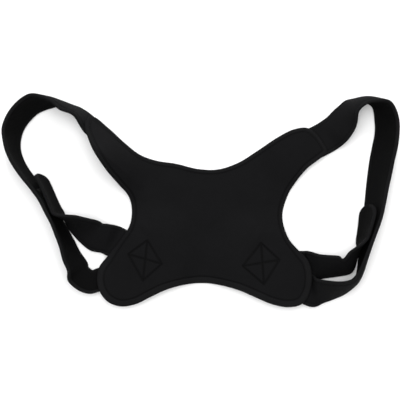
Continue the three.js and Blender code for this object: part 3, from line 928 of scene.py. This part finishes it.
def swollen_padding(panel, sewn):
    """Moves of a coarse copy of the panel, as its padding presses the cloth out between the sewn lines."""
    scene = bpy.context.scene
    remesh = panel.modifiers.new("voxels", "REMESH")
    remesh.mode, remesh.voxel_size = "VOXEL", sewing().voxel
    mesh = bpy.data.meshes.new_from_object(panel.evaluated_get(bpy.context.evaluated_depsgraph_get()))
    panel.modifiers.remove(remesh)
    pad = bpy.data.objects.new("settling_pad", mesh)
    scene.collection.objects.link(pad)
    start = [vertex.co.copy() for vertex in mesh.vertices]
    held = pad.vertex_groups.new(name="held")
    for vertex in mesh.vertices:
        plan = vertex.co.to_2d()
        sewn_down = sewn.inset(plan) < sewn.hem(plan) + 0.002 or sewn.box_distance(plan) < 0.003
        if sewn_down or vertex.co.z < 0.002:
            held.add([vertex.index], 1.0, "REPLACE")
    cloth = pad.modifiers.new("cloth", "CLOTH")
    settings = cloth.settings
    settings.quality = 6
    settings.mass = 0.25
    settings.tension_stiffness = settings.compression_stiffness = 12.0
    settings.shear_stiffness = 6.0
    settings.bending_stiffness = 0.6
    settings.use_pressure = True
    settings.uniform_pressure_force = sewing().padding_push
    settings.vertex_group_mass = "held"
    settings.effector_weights.gravity = 0.0
    cloth.point_cache.frame_start, cloth.point_cache.frame_end = 1, sewing().settle_frames
    for step in range(1, sewing().settle_frames + 1):
        scene.frame_set(step)
    settled = pad.evaluated_get(bpy.context.evaluated_depsgraph_get()).to_mesh()
    moves = []
    for before, vertex in zip(start, settled.vertices):
        move = vertex.co - before
        if move.length > sewing().padding_cap:
            move *= sewing().padding_cap / move.length
        moves.append(move)
    scene.frame_set(1)
    bpy.data.objects.remove(pad)
    return start, moves


def settle_padding(panel, sewn):
    """Presses the settled padding's form into the panel's own mesh."""
    start, moves = swollen_padding(panel, sewn)
    tree = kdtree.KDTree(len(start))
    for i, place in enumerate(start):
        tree.insert(place, i)
    tree.balance()
    for vertex in panel.data.vertices:
        near = tree.find_n(vertex.co, 6)
        weights = [1 / (away + 0.001) for _, _, away in near]
        move = sum((moves[i] * weight for (_, i, _), weight in zip(near, weights)), Vector())
        vertex.co += move / sum(weights)
        vertex.co.z = max(vertex.co.z, 0.0)
    panel.data.update()


def add_stitch(bm, place, way, facing):
    """Sews one stitch, which dips into the cloth at both ends."""
    side = way.cross(facing).normalized()
    facing = side.cross(way).normalized()
    radius, length = sewing().thread, sewing().length
    basis = Matrix((side * radius, facing * radius, way * (length / 2))).transposed().to_4x4()
    stitch = stitch_mesh()
    matrix = Matrix.Translation(place) @ basis
    stitch.transform(matrix)
    bm.from_mesh(stitch)
    stitch.transform(matrix.inverted())


def sew_line(bm, line):
    """Stitches along a line of places and facings."""
    pitch = sewing().pitch
    walked, wanted = 0.0, pitch / 2
    for (a, facing_a), (b, facing_b) in zip(line, line[1:]):
        step = (b - a).length
        while step and wanted <= walked + step:
            share = (wanted - walked) / step
            add_stitch(bm, a.lerp(b, share), (b - a).normalized(), facing_a.lerp(facing_b, share))
            wanted += pitch
        walked += step


def strap_sewing(strap):
    """The hem stitches along both edges of a strap, on both faces."""
    bm = bmesh.new()
    thread = sewing().thread
    for edge in (1, -1):
        for face in (1, -1):
            line = []
            for k, at in enumerate(strap.frames):
                across = edge * (at.width / 2 - strap.hem)
                left = strap.walked[-1] - strap.walked[k]
                if strap.round_end and left < strap.hem:
                    continue
                if strap.round_end and left < strap.round_end:
                    reach = strap.round_end - strap.hem
                    across = edge * math.sqrt(max(reach ** 2 - (strap.round_end - left) ** 2, 0))
                out = strap.half(k, across) + thread * 0.3
                line.append((strap.point(k, across, face * out), strap.facing(k, across, face)))
            sew_line(bm, line)
    return bm


def panel_sewing(sewn):
    """The hem stitches round the panel on both faces, and the crossed boxes on the lower lobes."""
    bm = bmesh.new()
    thread = sewing().thread

    def spot(plan, top):
        half = sewn.half_thickness(plan, top) + thread * 0.3
        normal = middle_normal(plan) * (1 if top else -1)
        return Vector((plan.x, plan.y, middle_height(plan))) + normal * half, normal

    hem = []
    for place, outward in sewn.edge:
        plan = place - outward * sewn.hem(place)
        if sewn.inset(plan) > 0.96 * sewn.hem(plan):
            hem.append(plan)
    hem.append(hem[0])
    for top in (True, False):
        sew_line(bm, [spot(plan, top) for plan in hem])
    for start, stop in sewn.boxes:
        count = 30
        sew_line(bm, [spot(start.lerp(stop, i / count), True) for i in range(count + 1)])
    return bm


# Materials

def maths(tree, operation, *values):
    node = tree.nodes.new("ShaderNodeMath")
    node.operation = operation
    for socket, value in zip(node.inputs, values):
        if isinstance(value, bpy.types.NodeSocket):
            tree.links.new(value, socket)
        else:
            socket.default_value = value
    return node.outputs[0]


def noise_texture(tree, place, scale, detail=2.0, roughness=0.5):
    node = tree.nodes.new("ShaderNodeTexNoise")
    for name, value in (("Scale", scale), ("Detail", detail), ("Roughness", roughness)):
        node.inputs[name].default_value = value
    tree.links.new(place, node.inputs["Vector"])
    return node.outputs["Fac"]


def own_places(tree, uv):
    """Where a point lies: on the piece's own map, or in the object's space."""
    if not uv:
        return tree.nodes.new("ShaderNodeTexCoord").outputs["Object"]
    node = tree.nodes.new("ShaderNodeUVMap")
    node.uv_map = "weave"
    return node.outputs["UV"]


def blend_colours(tree, share, first, second, kind="MIX"):
    node = tree.nodes.new("ShaderNodeMix")
    node.data_type = "RGBA"
    node.blend_type = kind
    for socket, value in ((node.inputs[0], share), (node.inputs[6], first), (node.inputs[7], second)):
        if isinstance(value, bpy.types.NodeSocket):
            tree.links.new(value, socket)
        else:
            socket.default_value = value
    return node.outputs[2]


KNIT_SOCKETS = (
    ("Vector", "INPUT", "Vector"), ("Pitch", "INPUT", "Float"), ("Cloth", "INPUT", "Color"),
    ("Rim highlight", "INPUT", "Color"), ("Band", "INPUT", "Float"), ("Colour", "OUTPUT", "Color"),
    ("Roughness", "OUTPUT", "Float"), ("Height", "OUTPUT", "Float"),
)


def knit_group():
    """Knitted columns of V-shaped loops, with fuzz, a faint mottling and painted shade in the hollows between
    the loops.
    """
    tree = bpy.data.node_groups.get("knit")
    if tree:
        return tree
    tree = bpy.data.node_groups.new("knit", "ShaderNodeTree")
    for name, way, kind in KNIT_SOCKETS:
        tree.interface.new_socket(name, in_out=way, socket_type="NodeSocket" + kind)
    given = tree.nodes.new("NodeGroupInput")
    made = tree.nodes.new("NodeGroupOutput")
    split = tree.nodes.new("ShaderNodeSeparateXYZ")
    tree.links.new(given.outputs["Vector"], split.inputs[0])
    pitch = given.outputs["Pitch"]
    column = maths(tree, "FRACT", maths(tree, "DIVIDE", split.outputs[0], pitch))
    aside = maths(tree, "ABSOLUTE", maths(tree, "MULTIPLY_ADD", column, 2.0, -1.0))
    loop = maths(tree, "ADD", maths(tree, "DIVIDE", split.outputs[1], pitch),
                 maths(tree, "MULTIPLY", aside, 0.5))
    wave = maths(tree, "MULTIPLY_ADD", maths(tree, "SINE", maths(tree, "MULTIPLY", loop, math.tau)), 0.3, 0.7)
    bulge = maths(tree, "SUBTRACT", 1.0, maths(tree, "POWER", aside, 3.0))
    stitch = maths(tree, "MULTIPLY", wave, bulge)
    fuzz = noise_texture(tree, given.outputs["Vector"], 1900.0)
    height = maths(tree, "MULTIPLY_ADD", fuzz, 0.5, stitch)
    patches = noise_texture(tree, given.outputs["Vector"], 26.0, 5.0, 0.6)
    tone = maths(tree, "MULTIPLY_ADD", patches, 0.7, 0.65)
    # Painted shade: the knit's hollows are darker than its loops.
    tone = maths(tree, "MULTIPLY", tone, maths(tree, "MULTIPLY_ADD", height, 0.35, 0.72))
    # Painted shade: where the band is below 0 it darkens the sewn lines and the straps' faces in shade.
    line = maths(tree, "MULTIPLY_ADD", maths(tree, "MINIMUM", given.outputs["Band"], 0.0), 0.75, 1.0)
    tone = maths(tree, "MULTIPLY", tone, line)
    # Painted highlight: where the band is above 0 the rim colour lightens the rolled rims.
    base = blend_colours(tree, given.outputs["Band"], given.outputs["Cloth"], given.outputs["Rim highlight"])
    shade = tree.nodes.new("ShaderNodeCombineColor")
    for socket in shade.inputs:
        tree.links.new(tone, socket)
    colour = blend_colours(tree, 1.0, base, shade.outputs[0], "MULTIPLY")
    tree.links.new(colour, made.inputs["Colour"])
    tree.links.new(maths(tree, "MULTIPLY_ADD", patches, 0.12, 0.82), made.inputs["Roughness"])
    tree.links.new(height, made.inputs["Height"])
    return tree


def new_material(name, specular):
    material = bpy.data.materials.new(name)
    material.use_nodes = True
    tree = material.node_tree
    shader = tree.nodes["Principled BSDF"]
    shader.inputs["Specular IOR Level"].default_value = specular
    return material, tree, shader


def bump(tree, shader, height, distance, strength):
    node = tree.nodes.new("ShaderNodeBump")
    node.inputs["Distance"].default_value = distance
    node.inputs["Strength"].default_value = strength
    tree.links.new(height, node.inputs["Height"])
    tree.links.new(node.outputs["Normal"], shader.inputs["Normal"])


def cloth_material(name, own_map):
    """Black knitted cloth. The straps' knit follows the strap, the panel's lies square on the panel."""
    found = bpy.data.materials.get(name)
    if found:
        return found
    material, tree, shader = new_material(name, 0.08)
    # The bands of painted highlight and shade, kept on the meshes.
    band = tree.nodes.new("ShaderNodeAttribute")
    band.attribute_name = "painted_light_band"
    knit = tree.nodes.new("ShaderNodeGroup")
    knit.node_tree = knit_group()
    knit.inputs["Pitch"].default_value = colours().knit_pitch
    knit.inputs["Cloth"].default_value = (*colours().cloth, 1)
    knit.inputs["Rim highlight"].default_value = (*colours().rim, 1)
    tree.links.new(own_places(tree, own_map), knit.inputs["Vector"])
    tree.links.new(band.outputs["Fac"], knit.inputs["Band"])
    tree.links.new(knit.outputs["Colour"], shader.inputs["Base Color"])
    tree.links.new(knit.outputs["Roughness"], shader.inputs["Roughness"])
    bump(tree, shader, knit.outputs["Height"], 0.0003, 0.6)
    return material


def thread_material():
    """Spun black thread, a little glossier than the cloth, and darker: partly its own black, partly painted
    shade along the sewn lines.
    """
    found = bpy.data.materials.get("thread")
    if found:
        return found
    material, tree, shader = new_material("thread", 0.10)
    fibre = noise_texture(tree, own_places(tree, False), 2600.0)
    # The thread's dark colour is partly painted shade along the sewn lines.
    thread = Vector(colours().thread)
    colour = blend_colours(tree, fibre, (*(thread * 0.6), 1), (*(thread * 1.5), 1))
    tree.links.new(colour, shader.inputs["Base Color"])
    tree.links.new(maths(tree, "MULTIPLY_ADD", fibre, 0.2, 0.5), shader.inputs["Roughness"])
    bump(tree, shader, fibre, 0.0001, 0.5)
    return material


def hook_material():
    """Hook fastener: a field of small stiff hooks in staggered rows, with painted shade between the hooks and
    painted highlight on them.
    """
    found = bpy.data.materials.get("hooks")
    if found:
        return found
    material, tree, shader = new_material("hooks", 0.15)
    dots = tree.nodes.new("ShaderNodeTexVoronoi")
    dots.inputs["Scale"].default_value = 620.0
    dots.inputs["Randomness"].default_value = 0.35
    tree.links.new(own_places(tree, True), dots.inputs["Vector"])
    raised = maths(tree, "SUBTRACT", 1.0, dots.outputs["Distance"])
    hooks = Vector(colours().hooks)
    # Painted shade between the hooks and painted highlight on their raised tops.
    colour = blend_colours(tree, raised, (*(hooks * 0.4), 1), (*(hooks * 1.6), 1))
    tree.links.new(colour, shader.inputs["Base Color"])
    tree.links.new(maths(tree, "MULTIPLY_ADD", raised, -0.3, 0.75), shader.inputs["Roughness"])
    bump(tree, shader, raised, 0.0006, 0.8)
    return material


# Operators

Side = namedtuple("Side", "name shoulder closure tab turn")
SIDES = (
    Side("right", SHOULDER_RIGHT, CLOSURE_RIGHT, TAB_RIGHT, 1),
    Side("left", SHOULDER_LEFT, CLOSURE_LEFT, TAB_LEFT, -1),
)


def add_strap(kind, side, strap):
    """A strap's band in its cloth, and its stitching."""
    cloth = cloth_material("strap_knit", True)
    band = new_piece(f"{kind}_band_{side.name}", strap_mesh(strap), cloth, f"{kind}_strap_{side.name}")
    stitching = new_piece(f"{kind}_stitching_{side.name}", strap_sewing(strap), thread_material())


class BRACE_OT_panel(bpy.types.Operator):
    """Make the padded four-lobed back panel with its hem and box stitches"""

    bl_idname = "brace.panel"
    bl_label = "Back panel"

    def execute(self, context):
        sewn = PanelSewing()
        panel = new_piece("padded_panel", panel_mesh(sewn), cloth_material("panel_knit", False), "back_panel")
        settle_padding(panel, sewn)
        stitching = new_piece("panel_stitching", panel_sewing(sewn), thread_material())
        return {"FINISHED"}


class BRACE_OT_shoulder_straps(bpy.types.Operator):
    """Make the two shoulder straps with their hems"""

    bl_idname = "brace.shoulder_straps"
    bl_label = "Shoulder straps"

    def execute(self, context):
        for side in SIDES:
            frames = frames_along(shoulder_stations(side), SHOULDER_SPACING)
            # One face of the strap gets painted shade: the face that lies in shade.
            strap = Strap(frames, sizes().strap_thickness, sewing().strap_hem, shaded_face=-side.turn)
            add_strap("shoulder", side, strap)
        return {"FINISHED"}


class BRACE_OT_closure_straps(bpy.types.Operator):
    """Make the two closure straps with their round tabs and hook pads"""

    bl_idname = "brace.closure_straps"
    bl_label = "Closure straps and hook pads"

    def execute(self, context):
        size = sizes()
        for side in SIDES:
            shoulder = route(shoulder_stations(side))
            frames = frames_along(closure_stations(shoulder, side), CLOSURE_SPACING)
            round_end = size.tab_width / 2
            # One face of the strap gets painted shade: the face that lies in shade.
            strap = Strap(frames, size.strap_thickness, sewing().strap_hem, round_end, shaded_face=side.turn)
            add_strap("closure", side, strap)
            hook_frames = frames_along(hook_stations(shoulder, side), HOOK_SPACING)
            pad = strap_mesh(Strap(hook_frames, size.hook_thickness, 0.0))
            hooks = new_piece(f"hook_field_{side.name}", pad, hook_material(), f"hook_pad_{side.name}")
        return {"FINISHED"}


class BRACE_OT_studio(bpy.types.Operator):
    """Make the pale floor, the soft lights and the camera straight above"""

    bl_idname = "brace.studio"
    bl_label = "Studio"

    def execute(self, context):
        scene, settings = context.scene, studio()
        bm = bmesh.new()
        bmesh.ops.create_grid(bm, x_segments=1, y_segments=1, size=3.0)
        bmesh.ops.translate(bm, verts=bm.verts[:], vec=(0, 0, -0.0004))
        mesh = bpy.data.meshes.new("floor")
        bm.to_mesh(mesh)
        bm.free()
        material, tree, shader = new_material("floor", 0.1)
        grain = noise_texture(tree, own_places(tree, False), 40.0)
        floor_colour = Vector(settings.floor)
        colour = blend_colours(tree, grain, (*(floor_colour * 0.99), 1), (*floor_colour, 1))
        tree.links.new(colour, shader.inputs["Base Color"])
        shader.inputs["Roughness"].default_value = 0.9
        mesh.materials.append(material)
        floor = bpy.data.objects.new("floor", mesh)
        scene.collection.objects.link(floor)
        floor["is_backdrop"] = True

        world = bpy.data.worlds.new("surround")
        world.use_nodes = True
        world.node_tree.nodes["Background"].inputs["Color"].default_value = (1, 1, 1, 1)
        world.node_tree.nodes["Background"].inputs["Strength"].default_value = settings.sky
        scene.world = world

        lights = (
            ("overhead_light", settings.overhead, 2.2, Vector((-0.2, 0.2, 2.3))),
            ("side_light", settings.side, 1.0, Vector((0.2, 1.7, 1.0))),
        )
        for name, power, size, place in lights:
            light = bpy.data.lights.new(name, "AREA")
            light.energy, light.size = power, size
            lamp = bpy.data.objects.new(name, light)
            lamp.location = place
            lamp.rotation_euler = place.to_track_quat("Z", "Y").to_euler()
            scene.collection.objects.link(lamp)

        lens = bpy.data.cameras.new("camera")
        lens.lens, lens.sensor_width = settings.lens, 36.0
        camera = bpy.data.objects.new("camera", lens)
        camera.location = settings.camera_place
        scene.collection.objects.link(camera)
        scene.camera = camera
        scene.view_settings.view_transform = "Standard"
        return {"FINISHED"}


class BRACE_PT_sidebar(bpy.types.Panel):
    """Posture corrector tools"""

    bl_label = "Posture Corrector"
    bl_idname = "BRACE_PT_sidebar"
    bl_space_type = "VIEW_3D"
    bl_region_type = "UI"
    bl_category = "Posture Corrector"

    def draw(self, context):
        layout = self.layout
        for operator in OPERATORS:
            layout.operator(operator.bl_idname)
        for settings in (sizes(), sewing(), colours(), studio()):
            box = layout.box()
            for name in settings.__annotations__:
                box.prop(settings, name)


OPERATORS = (BRACE_OT_panel, BRACE_OT_shoulder_straps, BRACE_OT_closure_straps, BRACE_OT_studio)
SETTINGS = {
    "brace_sizes": BraceSizes,
    "brace_sewing": SewingSizes,
    "brace_colours": ClothColours,
    "brace_studio": StudioSettings,
}


def register():
    for group in SETTINGS.values():
        bpy.utils.register_class(group)
    for name, group in SETTINGS.items():
        setattr(bpy.types.Scene, name, PointerProperty(type=group))
    for item in (*OPERATORS, BRACE_PT_sidebar):
        bpy.utils.register_class(item)


def unregister():
    for item in (BRACE_PT_sidebar, *reversed(OPERATORS)):
        bpy.utils.unregister_class(item)
    for name, group in SETTINGS.items():
        delattr(bpy.types.Scene, name)
        bpy.utils.unregister_class(group)


def main():
    register()
    bpy.ops.brace.panel()
    bpy.ops.brace.shoulder_straps()
    bpy.ops.brace.closure_straps()
    bpy.ops.brace.studio()
    boxes = {"cad": CAD_BOX, "visual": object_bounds()}
    {name: [list(corner) for corner in box] for name, box in boxes.items()}


if __name__ == "__main__":
    main()
